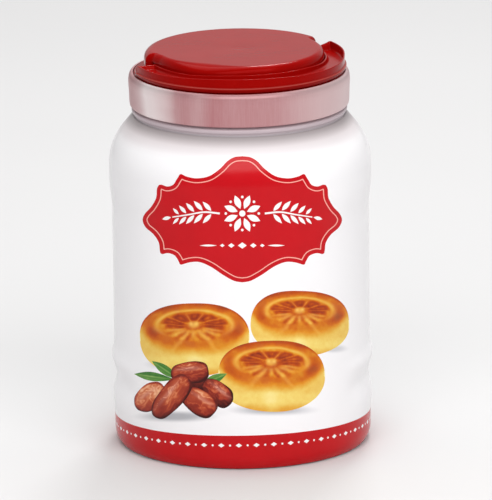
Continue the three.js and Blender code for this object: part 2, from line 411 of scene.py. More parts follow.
def white_plastic(name):
    m = Nodes(name)
    p = m.coords()
    cloud = m.noise(p, 26, 3)
    colour = m.blend(m.range(cloud, 0.3, 0.7), (0.82, 0.80, 0.81, 1), (0.87, 0.85, 0.86, 1))
    place = m.node("SeparateXYZ")
    m.link(p, place.inputs[0])
    # painted shade: the white plastic is darkened from the sleeve's top up to the band, darkest in the groove right
    # under the band, where the band's shade falls
    neck = m.range(place.outputs[2], 0.1950, 0.1958)
    colour = m.blend(neck, colour, (0.43, 0.375, 0.40, 1))
    colour = m.blend(m.range(place.outputs[2], 0.1967, 0.1978), colour, (0.50, 0.41, 0.44, 1))
    m.set(
        Base_Color=m.blend(m.range(place.outputs[2], 0.2005, 0.2013), colour, (0.30, 0.20, 0.22, 1)),
        Roughness=m.range(m.noise(p, 240, 3), 0.3, 0.7, 0.28, 0.38, "LINEAR"),
        Normal=m.bump(m.noise(p, 700, 3), 0.12, 0.00008),
    )
    return m.material


def film_finish(m):
    """Gloss and the slight unevenness of shrunk film, on every colour of the print."""
    p = m.coords()
    wave = m.noise(m.coords((1, 1, 0.35)), 16, 2)
    m.set(
        IOR=1.27,
        Roughness=m.range(m.noise(p, 210, 3), 0.3, 0.7, 0.17, 0.23, "LINEAR"),
        Normal=m.bump(m.math("ADD", m.math("MULTIPLY", wave, 5.0), m.noise(p, 650, 2)), 0.10, 0.00009),
    )
    return m.material


def film_colour(name, colour, spread=0.03):
    m = Nodes(name)
    cloud = m.noise(m.coords(), 60, 3)
    low = tuple(c * (1 - spread) for c in colour[:3]) + (1,)
    high = tuple(min(1, c * (1 + spread)) for c in colour[:3]) + (1,)
    m.set(Base_Color=m.blend(m.range(cloud, 0.3, 0.7), low, high))
    return film_finish(m)


# ---- jar body ---------------------------------------------------------------------------------
def jar_shell():
    below = np.array(
        [
            [2, 7.6],
            [3.2, 7.55],
            [4.0, 7.0],
            [14, 7.0],
            [20, 6.98],
            [36, 6.4],
            [50, 5.35],
            [56.5, 3.9],
            [60.5, 2.2],
            [62.6, 0.9],
            [64.0, 0.22],
            [65.2, 0.0],
            [67.2, 0.0],
            [68.4, 0.0],
        ]
    )
    line = WALL[2:]
    keep = np.r_[np.arange(0, 60, 4), np.arange(60, len(line) - 90, 5), np.arange(len(line) - 90, len(line), 5)]
    side = line[keep]
    above = np.array(
        [
            [61.75, 196.8],
            [62.15, 197.6],
            [62.5, 198.2],
            [62.85, 198.55],
            [62.9, 198.9],
            [62.9, 199.9],
            [62.82, 200.25],
            [62.5, 200.5],
            [61.95, 200.7],
            [61.65, 201.0],
            [61.6, 201.3],
            [61.6, 201.8],
            [61.3, 201.95],
            [60.3, 202.1],
            [NECK_R, 202.6],
            [NECK_R, 219.2],
            [59.8, NECK_TOP],
            [40, NECK_TOP],
        ]
    )
    azimuths = np.arange(0, 360, 2.0)
    rows = []
    for az in azimuths:
        s = side.copy()
        s[:, 0] += swell(s[:, 1], az)
        rows.append(np.r_[below, s, above])
    return turned(
        "jar_shell", np.array(rows), azimuths, "jar_body", white_plastic("jar_white"), 7.6, NECK_TOP
    )


# ---- neck band --------------------------------------------------------------------------------
def band():
    outline = [
        [60.6, BAND_LOW],
        [BAND_R - 1.25, BAND_LOW],
        [BAND_R - 0.8, 202.7],
        [BAND_R - 0.6, 204.2],
        [BAND_R - 0.4, 210.2],
        [BAND_R, 216.7],
        [BAND_R - 0.4, 219.5],
        [BAND_R - 1.1, 220.9],
        [BAND_R - 2.1, BAND_TOP],
        [61.9, 221.5],
        [61.9, 219.6],
        [60.6, 219.6],
    ]
    sizes = [0.2, 0.2, 0.25, 0.6, 2.4, 2.2, 1.1, 0.7, 0.4, 0.25, 0.2, 0.2]
    rounded = corners(np.array([outline]), sizes, 4, 0.2)[0]
    azimuths = np.arange(0, 360, 1.5)
    return turned(
        "satin_band", np.repeat(rounded[None], len(azimuths), 0), azimuths, "neck_band", band_metal("band_satin")
    )


# ---- cap --------------------------------------------------------------------------------------
def cap_piece(material):
    azimuths = set(np.arange(-180, 180, 2.0))
    for low, high in ((-82, -66), (119.5, 127)):
        azimuths |= set(np.round(np.arange(low, high, 0.3), 3))
    azimuths = np.array(sorted(azimuths))
    azimuths = azimuths[np.r_[np.diff(azimuths), 9] > 0.15]
    full = np.where(azimuths < 30, 1 - smooth(-79.8, -75.4, azimuths), smooth(120.8, 125.2, azimuths))
    # above the handle's rim the full side falls in more gently
    front_step = 1 - 0.6 * smooth(-79.2, -76.8, azimuths) - 0.4 * smooth(-78.0, -66.5, azimuths)
    upper = np.where(azimuths < 30, front_step, smooth(119.8, 125.4, azimuths))
    wall = mix(SEAT_WALL, FULL_WALL, full)
    above = mix(SEAT_WALL, FULL_WALL, upper)
    reach = mix(SEAT_ROUND + 4.8 * np.exp(-(((azimuths + 24) / 20) ** 2)), FULL_ROUND, upper)
    drop = mix(SEAT_DROP, FULL_ROUND, upper)
    ledge = 0.15 * (1 - full)
    arc = np.radians(np.linspace(0, 90, 19))
    rows = []
    for w, v, q, d, l in zip(wall, above, reach, drop, ledge):
        low = [[30, CAP_LOW], [FLANGE_R - 0.5, CAP_LOW], [FLANGE_R - 0.15, CAP_LOW + 0.15], [FLANGE_R, CAP_LOW + 0.5]]
        rim = [
            [FLANGE_R, FLANGE_TOP - 0.75],
            [FLANGE_R - 0.12, FLANGE_TOP - 0.35],
            [FLANGE_R - 0.4, FLANGE_TOP - 0.1],
            [FLANGE_R - 0.8, FLANGE_TOP],
            [FLANGE_R - 1.1, FLANGE_TOP],
        ]
        foot = [
            [w + l + 1.3, FLANGE_TOP],
            [w + l + 1.0, FLANGE_TOP],
            [w + l + 0.45, FLANGE_TOP + 0.12],
            [w + l + 0.12, FLANGE_TOP + 0.45],
            [w + l, FLANGE_TOP + 1.0],
            [w + l, 227.5],
            [w + 0.85 * l, 227.8],
            [w + 0.2 * l, 227.95],
            [w, 228.15],
            [mix(w, v, 0.5), 229.0],
        ]
        top = np.c_[v - q * (1 - np.cos(arc)), CAP_TOP - d * (1 - np.sin(arc))].tolist()
        flat_top = [
            [v - q - 0.3, CAP_TOP],
            [v - q - 1.6, CAP_TOP],
            [30, CAP_TOP],
            [5.0, CAP_TOP],
            [4.4, CAP_TOP - 0.01],
            [3.8, CAP_TOP - 0.03],
            [3.0, CAP_TOP - 0.04],
            [1.5, CAP_TOP - 0.04],
        ]
        rows.append(low + rim + foot + top + flat_top)
    return turned("cap_shell", np.array(rows), azimuths, "cap", material, CAP_LOW, CAP_TOP - 0.04)


# ---- carry handle: an open channel with a floor, closed at both ends ----------------------------
def outer_rim(az):
    return HANDLE_RIM + 1.35 * smooth(-55, -5, az) - 0.85 * smooth(5, 55, az) + 1.9 * smooth(72, 100, az)


def inner_rim(az):
    return HANDLE_RIM + 0.1 + 1.2 * smooth(-38, -2, az) - 1.05 * smooth(45, 75, az)


def handle_piece(material):
    az = np.r_[np.linspace(HANDLE_FRONT, -68.5, 19), np.linspace(-68, 115.5, 246), np.linspace(116, HANDLE_BACK, 19)]
    off_end = np.minimum(az - HANDLE_FRONT, HANDLE_BACK - az)
    closed = 1 - smooth(0.9, 2.8, off_end)
    outer, inner = outer_rim(az), inner_rim(az)
    zero = np.zeros(len(az))
    outline = [
        (zero + HANDLE_IN, zero + HANDLE_LOW),
        (zero + HANDLE_OUT - 1.0, zero + HANDLE_LOW),
        (zero + HANDLE_OUT, zero + HANDLE_LOW + 1.7),
        (zero + HANDLE_OUT, zero + 224.85),
        (zero + HANDLE_OUT - 0.95, zero + 225.05),
        (zero + HANDLE_OUT - 1.0, outer),
        (zero + HANDLE_OUT - 1.8, outer),
        (zero + HANDLE_OUT - 2.1, mix(HANDLE_FLOOR, outer - 0.3, closed)),
        (zero + HANDLE_IN + 1.6, mix(HANDLE_FLOOR, inner - 0.3, closed)),
        (zero + HANDLE_IN + 1.1, inner),
        (zero + HANDLE_IN + 0.1, inner),
    ]
    section = np.stack([np.stack(q, -1) for q in outline], 1)
    rounded = corners(section, [0.35, 0.35, 0.3, 0.2, 0.25, 0.42, 0.42, 1.1, 1.1, 0.42, 0.42], 6, 0.15)
    # rounded back end: over the last 1.5 mm the section shrinks a little, most at its outer side
    middle = np.array([HANDLE_IN + 4.0, 225.6])
    back_az, back_end = [], []
    for k in np.radians(np.linspace(15, 90, 6)):
        pull = 1 - math.cos(k)
        back_end.append((rounded[-1] - middle) * [1 - 0.19 * pull, 1 - 0.12 * pull] + middle)
        back_az.append(HANDLE_BACK + math.degrees(1.5 * (math.sin(k) - 1) / 58))
    # front end: the outer side runs on as a low tongue
    steps = np.r_[-73.25, -73.5, -74.0, -74.6, np.arange(-75.5, -81.2, -0.6), -81.6, -81.9, -82.0]
    tip_az, tip = [], []
    for a in steps:
        first = np.array([np.interp(-a, -TONGUE[:, 0], TONGUE[:, k]) for k in (1, 2, 3)])
        low, high = first[0], first[1] - 0.5 * smooth(-81, -82, a)
        crown = first[2] - 0.9 * smooth(-81, -82, a)
        r = mix(low, high, (rounded[0, :, 0] - HANDLE_IN) / (HANDLE_OUT - HANDLE_IN))
        top_here = mix(inner[0], outer[0], (rounded[0, :, 0] - HANDLE_IN) / (HANDLE_OUT - HANDLE_IN))
        z = HANDLE_LOW + (rounded[0, :, 1] - HANDLE_LOW) * (crown - HANDLE_LOW) / (top_here - HANDLE_LOW)
        # its top falls off to both sides
        across = (r - low) / (high - low)
        z = z - 0.9 * smooth(-73, -76, a) * smooth(0.0, 1.0, np.abs(2 * across - 1.0) ** 2) * (z > HANDLE_LOW + 1)
        tip.append(np.c_[r, np.maximum(z, HANDLE_LOW)])
        tip_az.append(a)
    body = slice(0, np.searchsorted(az, HANDLE_BACK - 1.5))
    rounded = np.concatenate([np.array(tip[::-1]), rounded[body], np.array(back_end)])
    az = np.r_[tip_az[::-1], az[body], back_az]
    verts = at(rounded[:, :, 0], az[:, None], rounded[:, :, 1]).reshape(-1, 3)
    n_az, n_pt = rounded.shape[:2]
    faces = ring_faces(n_az, n_pt, False, True)
    faces.append(list(range(n_pt)))
    faces.append(list(range(n_az * n_pt - 1, (n_az - 1) * n_pt - 1, -1)))
    return make("carry_handle", verts, faces, "cap_handle", [material])


jar = jar_shell()
ring = band()
red = red_plastic("cap_red")
cap = cap_piece(red)
handle = handle_piece(red)

# ---- the print's shapes, as places in the 492 x 500 frame -------------------------------------
PRINT_X = 242.3  # the print's own middle


def curve(points, per=10):
    """A smooth open curve through the points."""
    p = np.asarray(points, float)
    p = np.r_[[2 * p[0] - p[1]], p, [2 * p[-1] - p[-2]]]
    out = []
    for a, b, c, d in zip(p, p[1:], p[2:], p[3:]):
        t = np.linspace(0, 1, per, endpoint=False)[:, None]
        out.append(0.5 * (2 * b + (c - a) * t + (2 * a - 5 * b + 4 * c - d) * t**2 + (3 * b - a - 3 * c + d) * t**3))
    return np.r_[np.concatenate(out), [p[-2]]]


def evenly(loop, step):
    """A closed line cut again into even steps."""
    p = np.r_[loop, loop[:1]]
    s = np.r_[0, np.cumsum(np.linalg.norm(np.diff(p, axis=0), axis=1))]
    n = max(8, int(round(s[-1] / step)))
    k = np.linspace(0, s[-1], n, endpoint=False)
    return np.c_[np.interp(k, s, p[:, 0]), np.interp(k, s, p[:, 1])]


def cartouche():
    """Half of a common ornamental frame, mirrored: a rounded lobe above and below, two cusps on
    each flank above and below, and a rounded point at the side."""
    arcs = [
        [(0, 156.2), (-8, 157.2), (-15, 161.2), (-22.5, 168.8), (-33, 176), (-45, 178.3), (-55, 176.7), (-60.8, 174.0)],
        [(-62.6, 174.3), (-66, 180), (-69.3, 184.8), (-75, 186.5), (-80.6, 184.6)],
        [(-83.4, 184.8), (-85.4, 189), (-86.3, 198), (-91.3, 207), (-97.3, 213.6), (-99.7, 220), (-96.6, 227.4), (-88.6, 234.6), (-83.6, 242.6), (-82.6, 250), (-82.0, 253.2)],
        [(-80.2, 254.2), (-74, 253.2), (-67.3, 255.8), (-63.6, 261.6), (-62.6, 264.3)],
        [(-60.9, 264.8), (-52, 262.3), (-42.5, 262.2), (-31.5, 266.8), (-19.5, 274.8), (-8.5, 280.8), (0, 282.4)],
    ]
    half = np.concatenate([curve(a, 9) for a in arcs])
    other = half[::-1] * [-1, 1]
    loop = np.r_[half, other[1:-1]]
    return loop * [1, 1] + [PRINT_X, 0]


def to_line(points, loop):
    """Distance of points to a closed line."""
    a, b = loop, np.roll(loop, -1, 0)
    best = np.full(len(points), 1e9)
    d = b - a
    l2 = np.maximum((d**2).sum(1), 1e-12)
    for s in range(0, len(points), 4000):
        p = points[s : s + 4000, None]
        t = np.clip(((p - a) * d).sum(2) / l2, 0, 1)
        q = a + t[..., None] * d
        best[s : s + 4000] = np.sqrt(((p - q) ** 2).sum(2)).min(1)
    return best


def inside(points, loop):
    x, y = points[:, 0], points[:, 1]
    hit = np.zeros(len(points), bool)
    for (ax, ay), (bx, by) in zip(loop, np.roll(loop, -1, 0)):
        if ay == by:
            continue
        cross = (ay > y) != (by > y)
        hit ^= cross & (x < (bx - ax) * (y - ay) / (by - ay) + ax)
    return hit


def inset(loop, d):
    """The closed line d further in, without the loops that corners would make."""
    p = evenly(loop, 0.4)
    g = np.roll(p, -1, 0) - np.roll(p, 1, 0)
    g /= np.linalg.norm(g, axis=1, keepdims=True)
    n = np.c_[-g[:, 1], g[:, 0]]
    if not inside(p[:1] + n[:1] * 0.5, p)[0]:
        n = -n
    q = p + n * d
    q = q[(to_line(q, p) > d - 0.06) & inside(q, p)]
    return evenly(q, 0.9)


def leaf(x, y, angle, length, width, bulge=1.0, n=9):
    """A pointed oval from (x, y) along the angle in degrees, upwards positive."""
    t = np.linspace(0, 1, n)
    w = width / 2 * np.sin(np.pi * t**bulge)
    top = np.c_[t * length, w]
    low = np.c_[t * length, -w][1:-1][::-1]
    p = np.r_[top, low]
    a = math.radians(angle)
    return np.c_[x + p[:, 0] * math.cos(a) - p[:, 1] * math.sin(a), y - p[:, 0] * math.sin(a) - p[:, 1] * math.cos(a)]


def disc(x, y, rx, ry=None, n=16, power=2.0, tilt=0.0):
    a = np.linspace(0, 2 * np.pi, n, endpoint=False)
    c, s = np.cos(a), np.sin(a)
    u = rx * np.sign(c) * np.abs(c) ** (2 / power)
    v = (ry or rx) * np.sign(s) * np.abs(s) ** (2 / power)
    k = math.radians(tilt)
    return np.c_[x + u * math.cos(k) - v * math.sin(k), y - u * math.sin(k) - v * math.cos(k)]


def ornament():
    """A plain eight-petalled rosette between two sprigs, above a small row of lozenges."""
    shapes = []
    cy = 213.5
    for k in range(8):
        a = 22.5 + 45 * k
        r = math.radians(a)
        shapes.append(leaf(PRINT_X + 5 * math.cos(r), cy - 5 * math.sin(r), a, 14.5, 6.4))
        b = math.radians(45 * k)
        shapes.append(disc(PRINT_X + 16.5 * math.cos(b), cy - 16.5 * math.sin(b), 1.35, n=10))
    shapes.append(disc(PRINT_X, cy, 3.1, n=20))
    for side in (-1, 1):
        stem = curve([(side * 22.5, cy), (side * 38, cy - 1.4), (side * 54, cy + 1.2), (side * 70, cy + 3.6)], 8)
        g = np.gradient(stem, axis=0)
        g /= np.linalg.norm(g, axis=1, keepdims=True)
        w = np.linspace(0.95, 0.55, len(stem))[:, None]
        n = np.c_[-g[:, 1], g[:, 0]] * w
        shapes.append(np.r_[stem + n, (stem - n)[::-1]] + [PRINT_X, 0])
        for k, (x, size) in enumerate(zip((30.5, 39, 47.5, 55.5, 63), (12.5, 13, 12, 10.5, 8.5))):
            y = np.interp(x, stem[:, 0] * side if side > 0 else -stem[:, 0], stem[:, 1])
            for tip in (1, -1):
                angle = tip * 47 if side > 0 else 180 - tip * 47
                shapes.append(leaf(PRINT_X + side * (x + 0.6), y - tip * 1.7, angle, size, size * 0.34, 0.9))
        shapes.append(leaf(PRINT_X + side * 71.3, cy + 3.8, -12 if side > 0 else 192, 9, 3.6))
    for x, size in ((0, 4.4), (-11, 3.2), (11, 3.2), (-20, 2.3), (20, 2.3)):
        y = 245.5
        shapes.append(np.array([(x - size, y), (x, y + size * 0.72), (x + size, y), (x, y - size * 0.72)]) + [PRINT_X, 0])
    for side in (-1, 1):
        shapes.append(leaf(PRINT_X + side * 25.5, 245.5, 0 if side > 0 else 180, 17, 2.0))
    return shapes


def biscuit_outline(cx, cy, a, b, seed):
    t = np.linspace(0, 2 * np.pi, 160, endpoint=False)
    c, s = np.cos(t), np.sin(t)
    power = np.where(s > 0, 2.5, 2.15)
    k = (np.abs(c) ** power + np.abs(s) ** power) ** (-1 / power)
    k = k * (1 + 0.006 * np.sin(3 * t + seed) + 0.005 * np.sin(5 * t + 2 * seed))
    return np.c_[cx + a * k * c, cy - b * k * s]


BISCUITS = {
    "left": (194.4, 339.6, 54.8, 36.4, 0.4),
    "right": (299.8, 323.8, 49.3, 32.9, 2.1),
    "front": (271.6, 376.4, 53.4, 35.6, 4.0),
}
# name: middle, half length, half width, tilt in degrees, outline power, tone
DATES = {
    "under": (198.5, 386.5, 15.0, 8.5, -15, 2.2, 0.02),
    "top": (189.8, 372.6, 19.2, 11.0, 4, 2.5, 0.50),
    "back": (217.2, 392.8, 17.6, 11.2, -38, 2.4, 0.34),
    "left": (150.4, 397.4, 17.4, 13.0, 34, 2.4, 0.84),
    "right": (199.2, 402.2, 19.0, 12.4, -32, 2.4, 0.62),
    "front": (171.2, 397.0, 26.0, 12.4, 50, 2.5, 0.60),
}


def date_outline(x, y, a, b, tilt, power, tone):
    t = np.linspace(0, 2 * np.pi, 72, endpoint=False)
    p = disc(0, 0, a, b, 72, power, 0)
    p[:, 1] *= 1 + 0.10 * p[:, 0] / a
    p *= (1 + 0.012 * np.sin(4 * t + 9 * tone) + 0.012 * np.sin(7 * t + 20 * tone))[:, None]
    k = math.radians(tilt)
    u, v = p[:, 0], -p[:, 1]
    return evenly(np.c_[x + u * math.cos(k) - v * math.sin(k), y - u * math.sin(k) - v * math.cos(k)], 1.1)


LEAVES = [
    (177, 380, 172, 43.5, 9.0, 1.25),
    (180, 380, 146, 34.0, 9.0, 1.1),
    (202.5, 384.5, 24, 27.0, 9.0, 0.9),
]
# soft shadows under the food: middle x, y, half width, half height, depth
SHADOWS = [
    (176, 416.5, 48, 7.0, 0.86),
    (216, 412.5, 22, 5.5, 0.08),
    (272, 410.0, 52, 7.0, 0.76),
    (333, 348.5, 18, 5.5, 0.50),
    (157, 364.5, 16, 6.0, 0.26),
]


# ---- tones of the pictured food, worked out from simple shapes --------------------------------
def grain(points, scale, octaves=2, offset=0.0):
    """Smooth noise about 0 at 2-D points."""
    out = np.zeros(len(points))
    for k in range(octaves):
        f = scale * 2**k
        out += np.array([mnoise.noise((x * f, y * f, offset + 7.3 * k)) for x, y in points]) / 2**k
    return out


def apart(a, b):
    return np.abs((a - b + 180) % 360 - 180)


def biscuit_tones(px, cx, cy, a, b, seed):
    """How baked (0 pale dough, 1 dark crust) and how lit (-1 to 1) a pictured biscuit is."""
    u, v = (px[:, 0] - cx) / a, (cy - px[:, 1]) / b
    near = np.c_[u, v * 0.66]
    rough = grain(near, 3.2, 3, seed * 5)
    fine = grain(near, 11, 2, seed * 9 + 3)
    uw = u + 0.02 * grain(near, 4, 1, seed + 40)
    vw = v + 0.025 * grain(near, 4, 1, seed + 80)
    # the dough's pale side, and where the crust ends above it
    edge = -0.30 + 0.44 * (np.abs(uw) / 0.9) ** 3.2 + 0.05 * rough
    crust = smooth(edge - 0.21, edge + 0.19, vw)
    side = 0.15 - 0.11 * np.exp(-((uw / 0.14) ** 2)) + 0.24 * smooth(-0.68, -0.97, vw) + 0.07 * smooth(-0.55, -0.35, vw)
    top = 0.59 + 0.15 * rough
    for s in (-1, 1):
        top = top + 0.22 * np.exp(-(((uw - s * 0.76) / 0.16) ** 2) - ((vw - 0.22) / 0.24) ** 2)
        top = top + 0.13 * np.exp(-(((uw - s * 0.50) / 0.22) ** 2) - ((vw - 0.86) / 0.10) ** 2)
    top = top - 0.14 * smooth(0.80, 0.98, np.abs(uw)) * (1 - smooth(0.5, 0.8, vw))
    top = top + 0.20 * smooth(0.86, 0.99, vw / np.maximum(0.35, (1 - np.abs(uw) ** 2.5) ** 0.4))
    light = 0.10 * rough
    # the pressed oval and its petals
    x = uw / 0.665
    y = (vw - 0.39) / np.where(vw > 0.39, 0.40, 0.45)
    rho, theta = np.hypot(x, y), np.degrees(np.arctan2(y, x))
    theta = theta + 3.0 * grain(near, 5, 1, seed + 20)
    in_oval = 1 - smooth(0.88, 1.04, rho)
    upper = smooth(-0.42, 0.02, y)
    rim = np.exp(-(((rho - 1.0) / 0.11) ** 2)) * smooth(-0.75, -0.1, y)
    top = top - 0.26 * rim
    light = light + 0.36 * rim * (0.7 + 0.7 * fine)
    petals = np.zeros(len(u))
    rounds = np.zeros(len(u))
    streaks = np.zeros(len(u))
    for centre, width, reach in ((-12, 14.5, 0.84), (19, 15.5, 0.96), (53, 15.5, 0.90), (90, 15.5, 0.84)):
        for c in (centre, 180 - centre):
            d = apart(theta, c) / width
            inner_part = smooth(0.40, 0.62, rho) * (1 - smooth(reach - 0.26, reach - 0.05, rho))
            streaks = np.maximum(streaks, np.exp(-(((d - 0.1) / 0.24) ** 2)) * inner_part)
            along = smooth(0.20, 0.42, rho) * (1 - smooth(reach - 0.16, reach + 0.03, rho))
            petals = np.maximum(petals, np.exp(-(d**4)) * along)
            rounds = np.maximum(rounds, np.exp(-((d - 1.12) ** 2) / 0.035) * along)
    inner = 0.52 + (0.40 * petals - 0.22 * streaks) * upper + 0.10 * rough + 0.08 * fine
    light_in = (0.13 * rounds * (0.6 + 0.4 * smooth(0.9, 0.3, rho)) - 0.12 * petals * (1 - streaks)) * upper
    # broad ridges that fan out towards the viewer and fade over the edge
    lines = np.zeros(len(u))
    hollows = np.zeros(len(u))
    for k, end, w in ((0, 0.92, 3.4), (22, 2.0, 4.2), (45, 1.06, 5.0), (64, 1.0, 4.6)):
        for c in {-90 + k, -90 - k}:
            d = apart(theta, c) * rho
            along = smooth(0.26, 0.50, rho) * (1 - smooth(end - 0.5, end, rho))
            lines = np.maximum(lines, np.exp(-((d / w) ** 2)) * along)
            hollows = np.maximum(hollows, np.exp(-(((d - 2.1 * w) / w) ** 2)) * along)
    fan = smooth(0.10, -0.30, y)
    inner = inner + fan * (0.20 * hollows - 0.14 * lines)
    light_in = light_in + fan * 0.30 * lines
    beyond = fan * (1 - in_oval)
    top = top - 0.06 * lines * beyond
    light = light + 0.16 * lines * beyond
    top = mix(top, inner, in_oval)
    light = mix(light, light_in, in_oval)
    # the button in the middle
    button = np.exp(-(((rho - 0.24) / 0.09) ** 2))
    top = top + 0.16 * button * (y < 0.1)
    light = light + 0.45 * np.exp(-((uw / 0.075) ** 2) - (((vw - 0.39) / 0.085) ** 2))
    for s in (-1, 1):
        light = light + 0.55 * np.exp(-(((uw - s * 0.055) / 0.036) ** 2) - (((vw - 0.43) / 0.05) ** 2))
    top = top + 0.05 * fine
    shown = np.maximum(crust, 0.75 * smooth(0.1, 0.5, lines))
    return np.clip(mix(side + 0.03 * fine, top, crust), 0, 1), np.clip(light * shown, -1, 1)


def date_tones(px, x, y, a, b, tilt, power, tone):
    k = math.radians(tilt)
    dx, dy = px[:, 0] - x, y - px[:, 1]
    p = (dx * math.cos(k) + dy * math.sin(k)) / a
    q = (-dx * math.sin(k) + dy * math.cos(k)) / b
    r2 = np.clip(p**2 + q**2, 0, 1)
    nz = np.sqrt(1 - r2 * 0.985)
    lit = 0.62 * (q * math.cos(k) * 0.8 + p * math.sin(k) * 0.5) + 0.55 * nz
    warp = grain(np.c_[p * 2, q * 2], 1.1, 2, tone * 30)
    folds = 1 - np.abs(grain(np.c_[p * 0.9 + 0.4 * warp, q * 2.0 + 0.9 * warp], 1.2, 1, tone * 70 + 5)) * 3.2
    folds = np.clip(folds, 0, 1) ** 2.5
    across = 1 - np.abs(grain(np.c_[p * 3.4 + warp, q * 1.2], 1.2, 1, tone * 50 + 11)) * 4
    across = np.clip(across, 0, 1) ** 3 * smooth(0.4, 0.8, np.abs(p))
    value = 0.02 + tone * 0.66 + 0.46 * (lit - 0.42) + 0.14 * warp - 0.22 * smooth(0.78, 1.0, r2)
    value = value + (0.34 * folds + 0.12 * across) * smooth(0.02, 0.6, nz) * (0.4 + lit) * smooth(0.1, 0.3, tone)
    shine = np.exp(-((p / 0.55) ** 2) - (((q - 0.38) / 0.16) ** 2)) * (0.5 + folds)
    return np.clip(value, 0, 1), np.clip(0.34 * shine, 0, 1) * smooth(0.1, 0.3, tone)


def leaf_tones(px, x, y, angle, length, width, bulge):
    k = math.radians(angle)
    dx, dy = px[:, 0] - x, y - px[:, 1]
    t = (dx * math.cos(k) + dy * math.sin(k)) / length
    q = (-dx * math.sin(k) + dy * math.cos(k)) / (width / 2)
    veins = 0.5 + 0.5 * np.cos(q / np.maximum(0.15, np.sin(np.pi * np.clip(t, 0.02, 0.98))) * 9)
    value = 0.46 + 0.30 * np.exp(-((q / 0.16) ** 2)) + 0.16 * veins - 0.20 * smooth(0.5, 0.0, t)
    value = value + 0.10 * np.sign(q) * np.minimum(1, np.abs(q) * 3) + 0.12 * grain(px, 0.2, 2, angle)
    return np.clip(value, 0, 1), np.zeros(len(px))


# ---- the printed sleeve -----------------------------------------------------------------------
FLAT_R = 76.0  # the film laid flat is measured at this radius
TURN = math.pi * FLAT_R


def flat(az_z):
    return np.c_[np.radians(az_z[:, 0]) * FLAT_R, az_z[:, 1]]


def ccw(loop):
    x, y = loop[:, 0], loop[:, 1]
    area = (x * np.roll(y, -1) - np.roll(x, -1) * y).sum()
    return loop if area > 0 else loop[::-1]


def band_edge(az):
    return 19.7 + 1.7 * np.cos(np.radians(2 * az)) + 0.5 * np.sin(np.radians(az))


def fine_points(loop, step):
    """A staggered grid of points inside a closed line."""
    lo, hi = loop.min(0), loop.max(0)
    out = []
    for k, y in enumerate(np.arange(lo[1], hi[1], step * 0.87)):
        x = np.arange(lo[0] + (k % 2) * step / 2, hi[0], step)
        out.append(np.c_[x, np.full(len(x), y)])
    p = np.concatenate(out)
    return p[inside(p, loop)]


